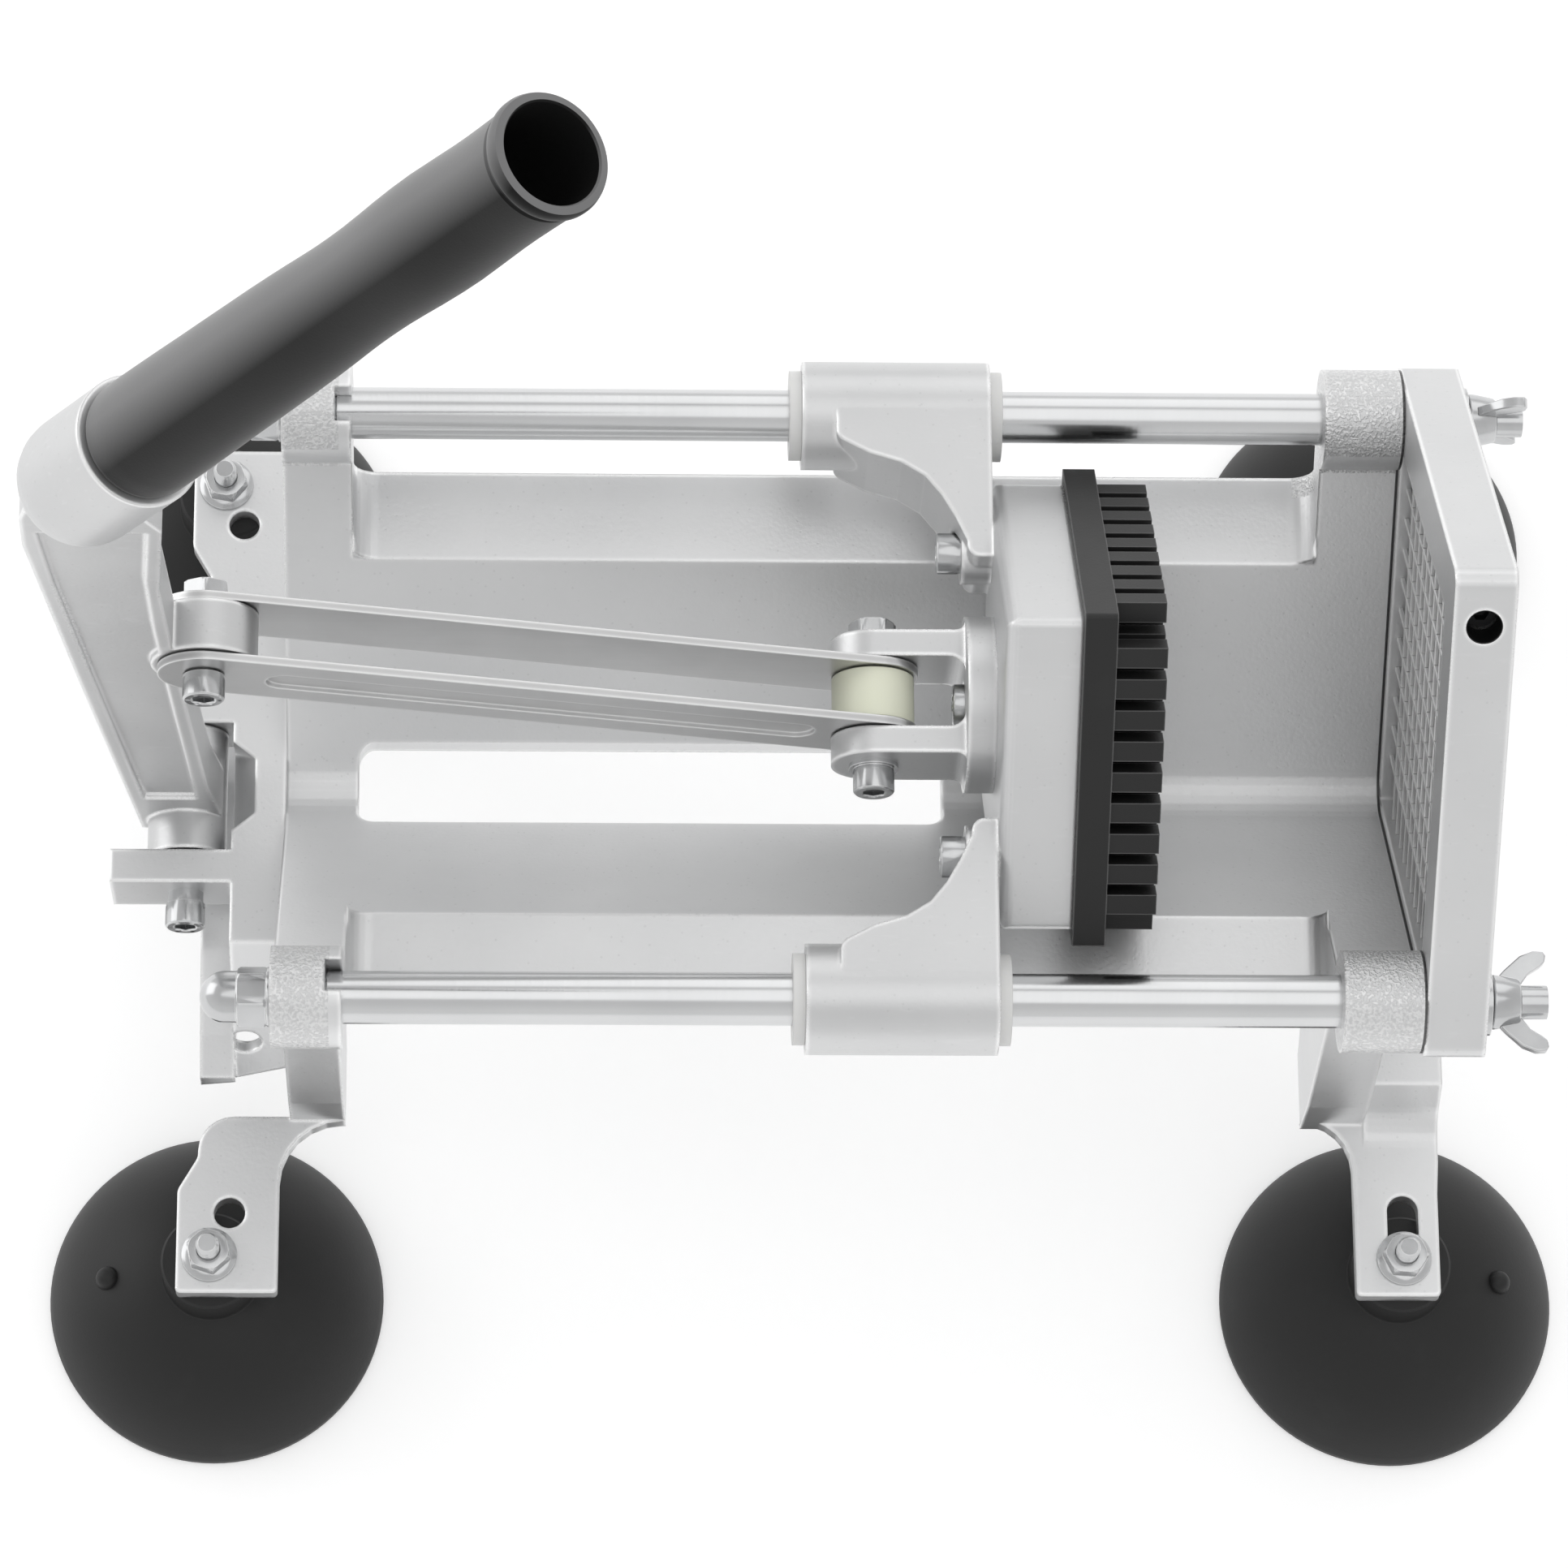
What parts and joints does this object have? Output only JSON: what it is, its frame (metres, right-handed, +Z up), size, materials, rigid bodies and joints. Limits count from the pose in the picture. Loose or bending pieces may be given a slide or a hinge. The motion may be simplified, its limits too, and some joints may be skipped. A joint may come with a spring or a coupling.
{
  "type": "commercial vegetable slicer",
  "caption": "Countertop lever slicer: a hinged lever and twin links push a pinned block along two rods over a V-shaped trough, through a square blade grid standing on its corner.",
  "frame": {"origin": "on the table, at the centre of the rectangle of the four suction cup axes", "axes": "+X along the guide rods from the lever end to the blade end, +Y across the trough away from the camera's side, +Z up"},
  "size_m": [0.39, 0.2958, 0.496],
  "materials": {
    "cast_aluminium": "satin cast and tumbled",
    "rod_steel": "ground and polished",
    "strap_steel": "stamped, satin",
    "blade_steel": "ground sheet",
    "zinc_steel": "bright zinc plate",
    "rubber": "satin black rubber",
    "pin_plastic": "moulded, satin black",
    "grip_plastic": "moulded, satin black",
    "bush_plastic": "turned, white",
    "nylon": "turned, cream"
  },
  "bodies": {
    "frame": {"trough_body": "cast_aluminium", "rear_leg_frame": "cast_aluminium", "front_leg_frame": "cast_aluminium", "rear_leg_screws": "zinc_steel", "front_leg_screws": "zinc_steel", "guide_rod_near": "rod_steel", "guide_rod_far": "rod_steel", "acorn_nut_near": "zinc_steel", "acorn_nut_far": "zinc_steel", "blade_holder": "cast_aluminium", "blades_rising": "blade_steel", "blades_falling": "blade_steel", "blade_set_screw": "zinc_steel", "wing_washer_near": "zinc_steel", "wing_washer_far": "zinc_steel", "cup_rear_near": "rubber", "cup_rear_far": "rubber", "cup_front_near": "rubber", "cup_front_far": "rubber", "stud_rear_near": "zinc_steel", "stud_rear_far": "zinc_steel", "stud_front_near": "zinc_steel", "stud_front_far": "zinc_steel", "nut_rear_near": "zinc_steel", "nut_rear_far": "zinc_steel", "nut_front_near": "zinc_steel", "nut_front_far": "zinc_steel", "pivot_bolt": "zinc_steel", "pivot_nut": "zinc_steel"},
    "wing_near": {"wing_nut_near": "zinc_steel"},
    "wing_far": {"wing_nut_far": "zinc_steel"},
    "carriage": {"pusher_carriage": "cast_aluminium", "bush_near_rear": "bush_plastic", "bush_near_front": "bush_plastic", "bush_far_rear": "bush_plastic", "bush_far_front": "bush_plastic", "pin_block": "pin_plastic", "head_screw_near": "zinc_steel", "head_screw_far": "zinc_steel", "clevis": "cast_aluminium", "clevis_screw": "zinc_steel", "clevis_bolt": "zinc_steel", "clevis_nut": "zinc_steel"},
    "roller": {"nylon_roller": "nylon"},
    "lever": {"lever_arm": "cast_aluminium", "pivot_bush": "rod_steel", "handle_tube": "rod_steel", "handle_grip": "grip_plastic", "link_bolt": "zinc_steel", "link_nut": "zinc_steel"},
    "links": {"link_strap_near": "strap_steel", "link_strap_far": "strap_steel"}
  },
  "joints": [
    {"name": "lever_hinge", "type": "hinge", "parent": "frame", "child": "lever", "pos_m": [-0.157, 0, 0.0975], "axis": [0, 1, 0], "range_deg": [-8, 38]},
    {"name": "carriage_slide", "type": "slide", "parent": "frame", "child": "carriage", "axis": [1, 0, 0], "range_m": [-0.0157, 0.0744]},
    {"name": "link_swing", "type": "hinge", "parent": "lever", "child": "links", "pos_m": [-0.1474, 0, 0.2113], "axis": [0, 1, 0], "range_deg": [-47.15, 9.95]},
    {"name": "roller_spin", "type": "hinge", "parent": "carriage", "child": "roller", "pos_m": [0.012, 0, 0.1695], "axis": [0, 1, 0], "continuous": true},
    {"name": "wing_nut_near_spin", "type": "hinge", "parent": "frame", "child": "wing_near", "pos_m": [0.165, -0.075, 0.17], "axis": [1, 0, 0], "continuous": true},
    {"name": "wing_nut_far_spin", "type": "hinge", "parent": "frame", "child": "wing_far", "pos_m": [0.165, 0.075, 0.17], "axis": [1, 0, 0], "continuous": true}
  ],
  "couplings": [
    {"joint": "carriage_slide", "follows": "lever_hinge", "m_per_rad": 0.112},
    {"joint": "link_swing", "follows": "lever_hinge", "ratio": -1.24}
  ]
}
